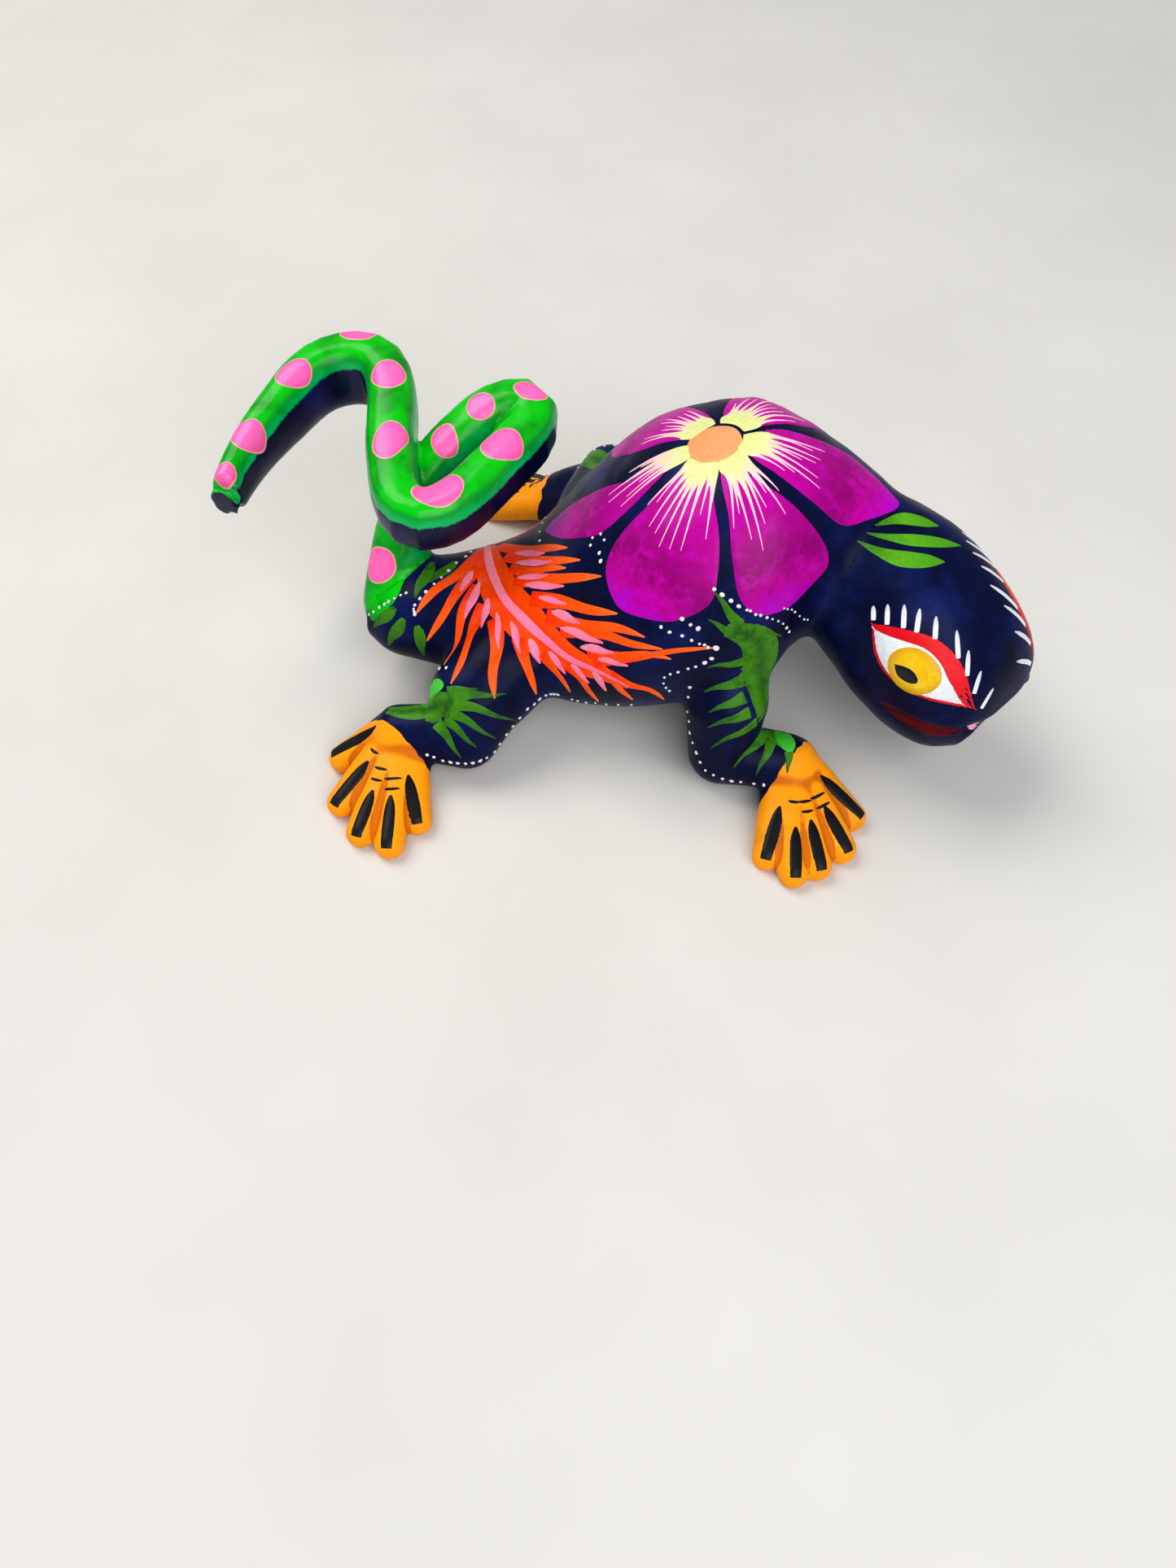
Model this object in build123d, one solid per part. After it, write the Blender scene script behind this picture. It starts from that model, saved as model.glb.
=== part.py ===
from build123d import *
from math import asin, copysign, cos, radians, sin
import os

# A hand-carved and painted wooden lizard, in millimetres.
# +X runs from the tail to the head, -Y is the animal's right side, +Z is up.
# The origin is on the floor, under the middle of the whole figure.

os.makedirs("parts", exist_ok=True)

# ---- torso ----
torso_length = 81.0
torso_width = 50.4
back_height = 53.0
rump_x = -45.3

# ---- neck and head ----
neck_radius = 13.2
neck_offset_y = -5.0
neck_height = 30.9
neck_yaw = -30.0
neck_dip = -12.0
head_length = 33.6
head_width = 29.0
head_height = 29.4
head_yaw = -46.0
head_dip = -21.0

# ---- tail ----
tail_root_inset = 3.6
tail_root_y = -1.0
tail_root_height = 15.0
tail_front = 30.2
tail_wave_reach = 50.8
tail_wave_width = 32.0
tail_plane_height = 38.0
tail_plane_slope = 0.21
tail_crown = 5.0
tail_fullness = 0.75
tail_width = 8.2
tail_thickness = 10.0
tail_arch_thickness = 13.0
tail_tip_width = 4.2
tail_tip_thickness = 7.6
tail_root_width = 9.6
tail_root_thickness = 9.8

# ---- legs and feet ----
shoulder_radius = 7.4
upper_arm_radius = 6.9
elbow_radius = 5.6
wrist_radius = 4.7
hip_radius = 8.8
thigh_radius = 8.2
knee_radius = 5.7
ankle_radius = 4.6
elbow_out = 0.8
toe_root_radius = 3.5
toe_tip_radius = 2.6
toe_tip_height = 1.7
toe_root_spread = 2.6
toe_root_drop = -1.2
shoulder_share = 0.755
hip_share = 0.262
wrist_forward = 12.6
shin_back = 14.8
far_shin_forward = 12.0

# ---- pegs and glue ----
neck_peg_diameter = 6.0
neck_peg_length = 18.0
tail_peg_diameter = 4.0
tail_peg_length = 13.0
leg_peg_diameter = 3.5
leg_peg_length = 15.0
glue_gap = 0.05
peg_end_gap = 0.5

SECTION_POINTS = 16
TAIL_SECTIONS = 64
CARVING_STEPS = 4
JOINT_STEP = 0.05
FLOOR_CUT = 60.0
# The angle off a foot's middle at which a toe starts a full toe_root_spread to the side.
TOE_FAN = 60.0
# How far along its piece each dowel is centred.
LEG_PEG_SHARE = 0.62
TAIL_PEG_SHARE = 0.04

# The climb from the rump to the waving stretch, as shares of the way along, out and up.
TAIL_CLIMB = ((0.10, 0.26, 0.29), (0.22, 0.46, 0.54), (0.44, 0.67, 0.76), (0.72, 0.86, 0.93))
# The wave itself: share of its reach back from the hairpin, and of its width.
TAIL_WAVE = (
    (0.065, 0.620),
    (0.016, 0.600),
    (0.010, 0.500),
    (0.055, 0.370),
    (0.165, 0.150),
    (0.280, -0.030),
    (0.370, -0.060),
    (0.430, 0.030),
    (0.457, 0.190),
    (0.474, 0.450),
    (0.484, 0.740),
    (0.540, 0.900),
    (0.640, 0.925),
    (0.740, 0.850),
    (0.830, 0.650),
    (0.917, 0.370),
    (0.985, 0.010),
)


def section(centre, forward, half_width, up, down, fullness=1.0):
    """A closed section across forward, as upright as that allows: 1 is egg-shaped, less is squarer."""
    plane = Plane(origin=centre, x_dir=Vector(0, 0, 1).cross(Vector(*forward)), z_dir=forward)
    points = []
    for k in range(SECTION_POINTS):
        angle = radians(360.0 * k / SECTION_POINTS)
        reach = up if sin(angle) > 0 else down
        across = copysign(abs(cos(angle)) ** fullness, cos(angle)) * half_width
        height = copysign(abs(sin(angle)) ** fullness, sin(angle)) * reach
        points.append(plane.from_local_coords(Vector(across, height, 0)))
    return Wire([Edge.make_spline(points, periodic=True)])


def heading(yaw, pitch):
    """The unit direction turned yaw degrees about +Z and tipped up by pitch degrees."""
    level = cos(radians(pitch))
    return Vector(cos(radians(yaw)) * level, sin(radians(yaw)) * level, sin(radians(pitch)))


def tapered_bar(start, start_radius, end, end_radius):
    """A cone between two balls, smooth where they meet."""
    along = end - start
    lean = asin((start_radius - end_radius) / along.length)
    with_start = Vector(start_radius * sin(lean), start_radius * cos(lean))
    with_end = Vector(along.length + end_radius * sin(lean), end_radius * cos(lean))
    half = (radians(90) - lean) / 2 + lean
    start_back = Vector(-start_radius * cos(radians(45) - lean / 2), start_radius * sin(radians(45) - lean / 2))
    end_front = Vector(along.length + end_radius * sin(half), end_radius * cos(half))
    back_tip = Vector(-start_radius, 0)
    front_tip = Vector(along.length + end_radius, 0)
    outline = Wire([
        ThreePointArc(back_tip, start_back, with_start).edge(),
        Line(with_start, with_end).edge(),
        ThreePointArc(with_end, end_front, front_tip).edge(),
        Line(front_tip, back_tip).edge(),
    ])
    bar = revolve(Face(outline), Axis.X)
    upright = Vector(0, 0, 1) if abs(along.Z) < 0.9 * along.length else Vector(0, 1, 0)
    plane = Plane(origin=start, x_dir=along, z_dir=along.cross(upright).cross(along))
    return plane * bar


def limb(points, radii):
    """A round tapering limb with a ball at each joint of its route."""
    whole = tapered_bar(points[0], radii[0], points[1], radii[1])
    for k in range(1, len(points) - 1):
        whole += tapered_bar(points[k], radii[k] - JOINT_STEP, points[k + 1], radii[k + 1])
    return whole


def peg(centre, way, diameter, length):
    """A dowel centred on a joint."""
    return Plane(origin=centre, z_dir=way) * Cylinder(diameter / 2, length)


def peg_hole(centre, way, diameter, length):
    """The hole for a dowel, with its glue gap."""
    return Plane(origin=centre, z_dir=way) * Cylinder(diameter / 2 + glue_gap, length + 2 * peg_end_gap)


def carved(rows):
    """A solid carved smoothly through rows of centre, yaw, pitch, half width, reach up and down, fullness."""
    wires = []
    for k in range(len(rows) - 1):
        before = rows[max(k - 1, 0)]
        start, end = rows[k], rows[k + 1]
        after = rows[min(k + 2, len(rows) - 1)]
        last = k == len(rows) - 2
        for step in range(CARVING_STEPS + last):
            t = step / CARVING_STEPS
            x, y, z, yaw, pitch, half_width, up, down, fullness = [
                p + ((q - o) * t + (2 * o - 5 * p + 4 * q - n) * t * t + (3 * p - o - 3 * q + n) * t ** 3) / 2
                for o, p, q, n in zip(before, start, end, after)
            ]
            wires.append(section(Vector(x, y, z), heading(yaw, pitch), half_width, up, down, fullness))
    return Solid.make_loft(wires, ruled=True)


# ---- torso ----
# Each row: share of the length from the rump, share of the width, then the
# heights of the back and of the belly as shares of the back's height.
TORSO_ROWS = (
    (0.000, 0.18, 0.350, 0.195),
    (0.045, 0.31, 0.405, 0.140),
    (0.110, 0.37, 0.440, 0.110),
    (0.190, 0.43, 0.445, 0.080),
    (0.278, 0.54, 0.455, 0.064),
    (0.366, 0.67, 0.500, 0.058),
    (0.455, 0.84, 0.645, 0.058),
    (0.541, 0.96, 0.800, 0.060),
    (0.624, 1.00, 0.920, 0.062),
    (0.706, 0.99, 0.977, 0.072),
    (0.788, 0.98, 1.000, 0.100),
    (0.865, 0.86, 0.985, 0.205),
)
neck_centre = Vector(rump_x + torso_length + 1.5, neck_offset_y, neck_height)
neck_way = heading(neck_yaw, neck_dip)
neck_row = (*neck_centre, neck_yaw, neck_dip, neck_radius, neck_radius, neck_radius, 1.0)


def torso_body():
    rows = []
    for share, width, top, bottom in TORSO_ROWS:
        reach = (top - bottom) * back_height / 2
        middle = (top + bottom) * back_height / 2
        x = rump_x + share * torso_length
        rows.append((x, 0, middle, 0, 0, width * torso_width / 2, reach, reach, 1.0))
    return carved(rows + [neck_row])


# ---- head ----
# Each row: share of the head's length, half width, reach up, reach down and fullness.
HEAD_ROWS = (
    (0.24, 0.495, 0.480, 0.480, 0.95),
    (0.48, 0.500, 0.480, 0.500, 0.88),
    (0.72, 0.475, 0.410, 0.480, 0.84),
    (0.90, 0.425, 0.270, 0.370, 0.82),
    (1.00, 0.310, 0.110, 0.220, 0.82),
)


def head_body():
    rows = [neck_row]
    centre = neck_centre
    done = 0.0
    for share, width, up, down, fullness in HEAD_ROWS:
        turn = min(1.0, share / 0.5)
        yaw = neck_yaw + (head_yaw - neck_yaw) * turn
        dip = neck_dip + (head_dip - neck_dip) * turn
        centre = centre + heading(yaw, dip) * ((share - done) * head_length)
        done = share
        rows.append((*centre, yaw, dip, width * head_width, up * head_height, down * head_height, fullness))
    return carved(rows)


# ---- tail ----
# The tail leaves the rump upwards, then waves from side to side in a plane that rises away.
def wave_point(back, side):
    """A point of the waving stretch, a distance back from its hairpin and a share of its width."""
    y = side * tail_wave_width
    return Vector(rump_x + tail_front - back * tail_wave_reach, y, tail_plane_height + tail_plane_slope * y)


def tail_route():
    root = Vector(rump_x + tail_root_inset, tail_root_y, tail_root_height)
    top = wave_point(0.06, 0.64)
    rise = top - root
    climb = [root + Vector(along * rise.X, out * rise.Y, up * rise.Z) for along, out, up in TAIL_CLIMB]
    wave = [wave_point(back, side) for back, side in TAIL_WAVE]
    return Spline([root] + climb + wave)


TAIL_WIDTHS = ((0.0, tail_root_width), (0.2, tail_width), (0.75, tail_width), (1.0, tail_tip_width))
TAIL_THICKNESSES = (
    (0.0, tail_root_thickness),
    (0.2, tail_thickness),
    (0.5, tail_thickness),
    (0.7, tail_arch_thickness),
    (0.85, tail_arch_thickness - 1.0),
    (1.0, tail_tip_thickness),
)


def between(t, rows):
    """A value read off straight lines between rows of (place, value)."""
    for (t0, v0), (t1, v1) in zip(rows, rows[1:]):
        if t <= t1:
            return v0 + (v1 - v0) * (t - t0) / (t1 - t0)
    return rows[-1][1]


def tail_body():
    route = tail_route()
    wires = []
    for k in range(TAIL_SECTIONS + 1):
        t = k / TAIL_SECTIONS
        width = between(t, TAIL_WIDTHS)
        thickness = between(t, TAIL_THICKNESSES)
        under = thickness - tail_crown
        wires.append(section(route @ t, route % t, width / 2, tail_crown, under, tail_fullness))
    return Solid.make_loft(wires, ruled=True)


# ---- legs ----
# Each leg is given for the animal's left side; side is -1 on its right.
def leg_body(joints, radii, toes, side):
    """A limb from inside the torso to the wrist or ankle, with its spread foot."""
    points = [Vector(x, side * y, z) for x, y, z in joints]
    leg = limb(points, radii)
    wrist = points[-1]
    middle = sum(angle for angle, reach in toes) / len(toes)
    for angle, reach in toes:
        across = side * radians(middle + 90)
        spread = (angle - middle) / TOE_FAN * toe_root_spread
        start = wrist + Vector(cos(across), sin(across), 0) * spread + Vector(0, 0, toe_root_drop)
        turned = side * radians(angle)
        tip = Vector(wrist.X + reach * cos(turned), wrist.Y + reach * sin(turned), toe_tip_height)
        leg += tapered_bar(start, toe_root_radius, tip, toe_tip_radius)
    floor = Pos(0, 0, -FLOOR_CUT / 2) * Box(4 * FLOOR_CUT, 4 * FLOOR_CUT, FLOOR_CUT)
    return leg - floor


flank = torso_width / 2
chest_x = rump_x + shoulder_share * torso_length
loin_x = rump_x + hip_share * torso_length

FRONT_TOES = ((38, 12.6), (62, 16.0), (80, 17.7), (93, 18.8), (108, 16.2))
REAR_TOES = ((77, 15.4), (92, 19.8), (108, 18.4), (130, 15.0), (168, 10.6))
FAR_REAR_TOES = ((104, 8.8), (121, 10.4), (138, 12.6), (154, 14.4), (171, 14.2))

front_joints = (
    (chest_x + 0.6, flank - 11.0, 26.0),
    (chest_x + 0.8, flank - 2.2, 17.0),
    (chest_x + 0.6, flank + elbow_out, 7.0),
    (chest_x + wrist_forward, flank + 3.0, 6.8),
)
front_radii = (shoulder_radius, upper_arm_radius, elbow_radius, wrist_radius)
rear_joints = (
    (loin_x + 4.0, flank - 13.0, 14.0),
    (loin_x - 1.2, flank - 7.8, 11.4),
    (loin_x - 3.2, flank - 2.8, 6.6),
    (loin_x - shin_back, flank - 3.6, 7.0),
)
far_rear_joints = (
    (loin_x + 19.0, flank - 9.0, 23.0),
    (loin_x + 22.0, flank + 2.4, 21.0),
    (loin_x + 20.0, flank + 8.6, 12.6),
    (loin_x + far_shin_forward, flank + 12.8, 7.2),
)
rear_radii = (hip_radius, thigh_radius, knee_radius, ankle_radius)
far_rear_radii = (hip_radius - 2.0, thigh_radius - 2.4, knee_radius, ankle_radius)

legs = {
    "front_right_leg": leg_body(front_joints, front_radii, FRONT_TOES, -1),
    "front_left_leg": leg_body(front_joints, front_radii, FRONT_TOES, 1),
    "rear_right_leg": leg_body(rear_joints, rear_radii, REAR_TOES, -1),
    "rear_left_leg": leg_body(far_rear_joints, far_rear_radii, FAR_REAR_TOES, 1),
}
leg_roots = {
    "front_right_leg": (front_joints[0], front_joints[1], -1),
    "front_left_leg": (front_joints[0], front_joints[1], 1),
    "rear_right_leg": (rear_joints[0], rear_joints[1], -1),
    "rear_left_leg": (far_rear_joints[0], far_rear_joints[1], 1),
}

# ---- fitting the pieces together ----
torso = torso_body()
head = head_body() - torso
tail = tail_body() - torso
legs = {name: leg - torso for name, leg in legs.items()}

pegs = {"neck_peg": (neck_centre, neck_way, neck_peg_diameter, neck_peg_length)}
tail_line = tail_route()
tail_peg_middle = tail_line @ TAIL_PEG_SHARE
pegs["tail_peg"] = (tail_peg_middle, tail_line % TAIL_PEG_SHARE, tail_peg_diameter, tail_peg_length)
for name, (root, upper, side) in leg_roots.items():
    inner = Vector(root[0], side * root[1], root[2])
    outer = Vector(upper[0], side * upper[1], upper[2])
    way = (outer - inner).normalized()
    middle = inner + (outer - inner) * LEG_PEG_SHARE
    pegs[name.replace("leg", "peg")] = (middle, way, leg_peg_diameter, leg_peg_length)

for name, (centre, way, diameter, length) in pegs.items():
    hole = peg_hole(centre, way, diameter, length)
    torso = torso - hole
    if name == "neck_peg":
        head = head - hole
    elif name == "tail_peg":
        tail = tail - hole
    else:
        legs[name.replace("peg", "leg")] -= hole
    export_step(peg(centre, way, diameter, length), f"parts/{name}.step")

export_step(torso, "parts/torso.step")
export_step(head, "parts/head.step")
export_step(tail, "parts/tail.step")
for name, leg in legs.items():
    export_step(leg, f"parts/{name}.step")
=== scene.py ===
import random
from math import cos, pi, radians, sin

import bmesh
import bpy
import numpy as np
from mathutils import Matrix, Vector, noise
from mathutils.bvhtree import BVHTree


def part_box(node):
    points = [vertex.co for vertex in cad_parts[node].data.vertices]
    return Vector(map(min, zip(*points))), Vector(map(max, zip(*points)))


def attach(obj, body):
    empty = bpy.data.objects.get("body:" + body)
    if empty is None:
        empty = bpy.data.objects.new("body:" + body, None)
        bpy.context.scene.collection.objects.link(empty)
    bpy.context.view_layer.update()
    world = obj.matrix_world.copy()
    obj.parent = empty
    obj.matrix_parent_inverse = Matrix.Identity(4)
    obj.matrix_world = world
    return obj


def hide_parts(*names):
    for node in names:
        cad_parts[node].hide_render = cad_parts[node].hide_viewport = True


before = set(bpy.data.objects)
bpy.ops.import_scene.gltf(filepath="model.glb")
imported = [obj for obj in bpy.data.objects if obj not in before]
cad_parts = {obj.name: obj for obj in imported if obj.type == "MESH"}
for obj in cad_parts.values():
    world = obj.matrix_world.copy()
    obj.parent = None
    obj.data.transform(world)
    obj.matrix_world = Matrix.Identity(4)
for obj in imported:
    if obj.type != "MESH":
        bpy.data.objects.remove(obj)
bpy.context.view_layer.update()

MM = 0.001

# ---------------------------------------------------------------- carving
# All seven carved pieces are skinned together, so that the filled and sanded joints run
# smoothly into each other, and the skin is then shared out again to its pieces.
CARVED = (
    "torso",
    "head",
    "tail",
    "front_right_leg",
    "front_left_leg",
    "rear_right_leg",
    "rear_left_leg",
)
VOXEL = 0.45 * MM
JOINT_REACH = 3.5 * MM
FAR = 1.0
KNIFE_MARK = 0.16 * MM
KNIFE_SCALE = 7.5 * MM
# How many smoothing passes the skin gets, and how far it is drawn back to the carved pieces.
FIRST_PASSES = 10
JOINT_PASSES = 60
LAST_PASSES = 6
SAND_PASSES = 12
WRIST_PASSES = 30
DRAWN_BACK = 0.6


def add_object(name, data):
    """A new object in the scene."""
    made = bpy.data.objects.new(name, data)
    bpy.context.scene.collection.objects.link(made)
    return made


def mesh_arrays(mesh):
    """A mesh's vertices as rows, and its four-sided faces as rows of corners."""
    verts = np.empty(len(mesh.vertices) * 3)
    mesh.vertices.foreach_get("co", verts)
    corners = np.empty(len(mesh.loops), int)
    mesh.loops.foreach_get("vertex_index", corners)
    return verts.reshape(-1, 3), corners.reshape(-1, 4)


def edges_of(faces):
    """Each edge of four-sided faces, once."""
    pairs = np.concatenate([faces[:, [k, (k + 1) % 4]] for k in range(4)])
    pairs.sort(axis=1)
    return np.unique(pairs, axis=0)


def neighbour_mean(values, edges):
    """The mean of each vertex's neighbours."""
    count = len(values)
    a, b = edges[:, 0], edges[:, 1]
    degree = np.maximum(np.bincount(a, minlength=count) + np.bincount(b, minlength=count), 1)
    mean = np.empty_like(values)
    for axis in range(values.shape[1]):
        total = np.bincount(a, values[b, axis], count) + np.bincount(b, values[a, axis], count)
        mean[:, axis] = total / degree
    return mean


def relax(verts, edges, rounds):
    """Evens a skin out without shrinking it: each smoothing pass has a matching swelling pass."""
    for _ in range(rounds):
        for pull in (0.5, -0.52):
            verts = verts + pull * (neighbour_mean(verts, edges) - verts)
    return verts


def melt(verts, edges, strength, rounds):
    """Plain smoothing, which fills a crease into a fillet."""
    for _ in range(rounds):
        verts = verts + 0.5 * strength[:, None] * (neighbour_mean(verts, edges) - verts)
    return verts


def vertex_normals(verts, faces):
    """Unit normals at the vertices of four-sided faces."""
    across = np.cross(verts[faces[:, 2]] - verts[faces[:, 0]], verts[faces[:, 3]] - verts[faces[:, 1]])
    normals = np.zeros_like(verts)
    for corner in range(4):
        for axis in range(3):
            normals[:, axis] += np.bincount(faces[:, corner], across[:, axis], len(verts))
    return normals / np.maximum(np.linalg.norm(normals, axis=1), 1e-12)[:, None]


def skin_whole():
    """One even skin over every carved piece and the dowels inside them."""
    whole = bpy.data.meshes.new("whole")
    build = bmesh.new()
    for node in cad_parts.values():
        build.from_mesh(node.data)
    build.to_mesh(whole)
    build.free()
    temp = add_object("whole", whole)
    remesh = temp.modifiers.new("remesh", "REMESH")
    remesh.mode = "VOXEL"
    remesh.voxel_size = VOXEL
    ready = temp.evaluated_get(bpy.context.evaluated_depsgraph_get())
    skin = bpy.data.meshes.new_from_object(ready)
    bpy.data.objects.remove(temp)
    verts, faces = mesh_arrays(skin)
    bpy.data.meshes.remove(skin)
    return verts, faces


def outer_shell(verts, faces):
    """Only the largest connected shell of a skin, without the voids inside it."""
    edges = edges_of(faces)
    label = np.arange(len(verts))
    while True:
        low = np.minimum(label[edges[:, 0]], label[edges[:, 1]])
        new = label.copy()
        np.minimum.at(new, edges[:, 0], low)
        np.minimum.at(new, edges[:, 1], low)
        new = new[new]
        if (new == label).all():
            break
        label = new
    keep = label == np.bincount(label).argmax()
    renumber = np.cumsum(keep) - 1
    return verts[keep], renumber[faces[keep[faces[:, 0]]]]


def tree_of(name):
    """A search tree over one CAD node."""
    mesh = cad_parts[name].data
    corners = [list(p.vertices) for p in mesh.polygons]
    return BVHTree.FromPolygons([v.co.copy() for v in mesh.vertices], corners)


def distances(verts):
    """How far each vertex is from each carved piece it is near, and the nearest place of all."""
    near = np.full((len(verts), len(CARVED)), FAR)
    place = verts.copy()
    for k, name in enumerate(CARVED):
        tree = tree_of(name)
        low, high = (np.array(corner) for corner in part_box(name))
        inside = np.all((verts > low - JOINT_REACH) & (verts < high + JOINT_REACH), axis=1)
        for i in np.nonzero(inside)[0]:
            spot, _, _, distance = tree.find_nearest(verts[i])
            if distance < near[i].min():
                place[i] = spot
            near[i, k] = distance
    return near, place


def smooth_step(values, low, high):
    """0 below low, 1 above high, and a smooth rise between them."""
    t = np.clip((values - low) / (high - low), 0, 1)
    return t * t * (3 - 2 * t)


def knife_marks(verts, normals):
    """The faint facets that a knife leaves: a slow, flattened ripple along the normals."""
    push = np.empty(len(verts))
    for i, v in enumerate(verts):
        wave = noise.noise(Vector(v) / KNIFE_SCALE)
        push[i] = abs(wave) - 0.2
    return verts + normals * (push * KNIFE_MARK)[:, None]


# ---------------------------------------------------------------- the head's own measures
# The middle of the head and the way it looks, as the carved piece has them.
HEAD_MIDDLE = Vector((48.6, -15.1, 25.8))
HEAD_YAW = radians(-46.0)
HEAD_DIP = radians(-21.0)
HEAD_AHEAD = Vector((cos(HEAD_YAW) * cos(HEAD_DIP), sin(HEAD_YAW) * cos(HEAD_DIP), sin(HEAD_DIP)))
HEAD_RIGHT = Vector((sin(HEAD_YAW), -cos(HEAD_YAW), 0))
HEAD_UP = HEAD_RIGHT.cross(HEAD_AHEAD)
OUTSIDE = 90.0

# The mouth, on the head's chart: distance ahead of the head's middle, and degrees round from its top.
MOUTH = ((3.0, 104), (8.0, 97), (12.0, 88), (15.0, 79), (17.2, 68))
MOUTH_DEPTH = 0.55
MOUTH_WIDTH = 0.9


def head_chart(ahead, turn, side=1):
    """A line of sight onto the head, square to its long axis; side -1 is its left."""
    axis = HEAD_MIDDLE + HEAD_AHEAD * ahead
    angle = radians(turn) * side
    way = HEAD_UP * cos(angle) + HEAD_RIGHT * sin(angle)
    return axis + way * OUTSIDE, -way


def carve_mouth(verts, normals):
    """A shallow groove along the mouth, on both sides and round the snout."""
    rel = verts / MM - np.array(HEAD_MIDDLE)
    ahead = rel @ np.array(HEAD_AHEAD)
    round_top = np.degrees(np.arctan2(np.abs(rel @ np.array(HEAD_RIGHT)), rel @ np.array(HEAD_UP)))
    line = np.interp(ahead, [p[0] for p in MOUTH], [p[1] for p in MOUTH])
    radius = np.sqrt(np.maximum((rel ** 2).sum(1) - ahead ** 2, 0))
    off = np.radians(np.abs(round_top - line)) * radius
    deep = np.exp(-(off / MOUTH_WIDTH) ** 2) * smooth_step(ahead, 3.0, 7.0) * (radius < 25)
    return verts - normals * (deep * MOUTH_DEPTH * MM)[:, None]


# A point on each wrist or ankle where the foot's paint starts, and the way the foot lies, for the left side.
FOOT_LINES = {
    "front_right_leg": (27.2, 30.2, 0.74, 0.67),
    "front_left_leg": (27.2, 30.2, 0.74, 0.67),
    "rear_right_leg": (-38.2, 24.8, -0.64, 0.77),
    "rear_left_leg": (-14.6, 38.0, -0.9, 0.43),
}
# How rough a place may be before it is sanded, and how far the left cheek is pared in.
ROUGH_FROM = 0.05 * MM
ROUGH_TO = 0.1 * MM
PARE = 0.08


def beyond_wrist(verts, foot_line):
    """How far each vertex lies beyond a wrist or an ankle, in mm."""
    x, y, _ = (verts / MM).T
    x0, y0, along, out = foot_line
    return (x - x0) * along + (np.abs(y) - y0) * out


def sand(verts, edges):
    """Sands down the places that are too rough for finished wood."""
    rough = np.linalg.norm(neighbour_mean(verts, edges) - verts, axis=1)
    strength = smooth_step(rough, ROUGH_FROM, ROUGH_TO)[:, None]
    for _ in range(3):
        strength = np.maximum(strength, neighbour_mean(strength, edges))
    return melt(verts, edges, strength[:, 0], SAND_PASSES)


def blend_wrists(verts, edges, owner):
    """Runs each limb smoothly into its foot."""
    strength = np.zeros(len(verts))
    for name, line in FOOT_LINES.items():
        beyond = beyond_wrist(verts, line)
        near_wrist = smooth_step(beyond, -3, -1) * (1 - smooth_step(beyond, 3.5, 5.5))
        mine = owner == CARVED.index(name)
        strength[mine] = near_wrist[mine]
    return melt(verts, edges, strength, WRIST_PASSES)


def pare_cheek(verts, owner):
    """Pares the head's left cheek in a little, as the carved head is not quite even."""
    rel = verts / MM - np.array(HEAD_MIDDLE)
    ahead = rel @ np.array(HEAD_AHEAD)
    right = rel @ np.array(HEAD_RIGHT)
    share = PARE * smooth_step(-right, 0, 10) * smooth_step(ahead, -8, 4) * (owner == CARVED.index("head"))
    return verts - np.outer(right * share * MM, np.array(HEAD_RIGHT))


verts, faces = outer_shell(*skin_whole())
edges = edges_of(faces)
verts = relax(verts, edges, FIRST_PASSES)
near, place = distances(verts)
owner = near.argmin(axis=1)
second = np.sort(near, axis=1)[:, 1]
joint = 1 - smooth_step(second, 0.0, JOINT_REACH)
joint = neighbour_mean(joint[:, None], edges)[:, 0]
verts = verts + (place - verts) * (DRAWN_BACK * (1 - joint))[:, None]
verts = melt(verts, edges, joint, JOINT_PASSES)
verts = relax(verts, edges, LAST_PASSES)
verts = sand(verts, edges)
verts = blend_wrists(verts, edges, owner)
verts = pare_cheek(verts, owner)
verts = knife_marks(verts, vertex_normals(verts, faces))
verts = carve_mouth(verts, vertex_normals(verts, faces))
verts[:, 2] = np.maximum(verts[:, 2], 0)
normals = vertex_normals(verts, faces)

# ---------------------------------------------------------------- where each paint lies
# Each field is above nothing where its paint lies, so its edge is a smooth line in the shader.
TAIL_PLANE = (-18.0, 16.0, 0.76)
TAIL_ROOT_TOP = 31.5


def tail_field(verts, normals, owner):
    """Green on top of the tail, and all over where it climbs out of the rump."""
    x, y, z = (verts / MM).T
    top = (normals[:, 2] - 0.1) * 3
    climb = (TAIL_ROOT_TOP - z) * 0.8
    x0, y0, slope = TAIL_PLANE
    behind = np.minimum(np.minimum(y - y0 - (x - x0) * slope, x + 37), -10.5 - x)
    field = np.maximum(np.maximum(top, climb), behind)
    tail = owner == CARVED.index("tail")
    root = 4.2 - np.hypot(x + 42.3, (y + 1.0) * 0.9)
    root = np.minimum(root, (z - 16.2) + (x + 43.0) * 0.5)
    return np.where(tail, np.clip(field, -1, 1), np.clip(root, -1, 1))


def foot_field(verts, owner):
    """Orange beyond each wrist and ankle."""
    x, y, z = (verts / MM).T
    field = np.full(len(verts), -1.0)
    for name, line in FOOT_LINES.items():
        mine = owner == CARVED.index(name)
        ragged = 0.5 * np.sin(x * 1.9 + y * 2.3) + 0.3 * np.sin(z * 3.1)
        value = beyond_wrist(verts, line) + ragged * 0.5
        field[mine] = np.clip(value[mine], -1, 1)
    return field


# The skin's bend; the feet use it to paint shade into their creases.
def hollow_field(verts, normals, edges):
    """Above nothing in creases and below it on ridges."""
    bend = ((neighbour_mean(verts, edges) - verts) * normals).sum(1)[:, None]
    for _ in range(8):
        bend = neighbour_mean(bend, edges)
    return np.clip(bend[:, 0] / (0.008 * MM), -1, 1)


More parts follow.
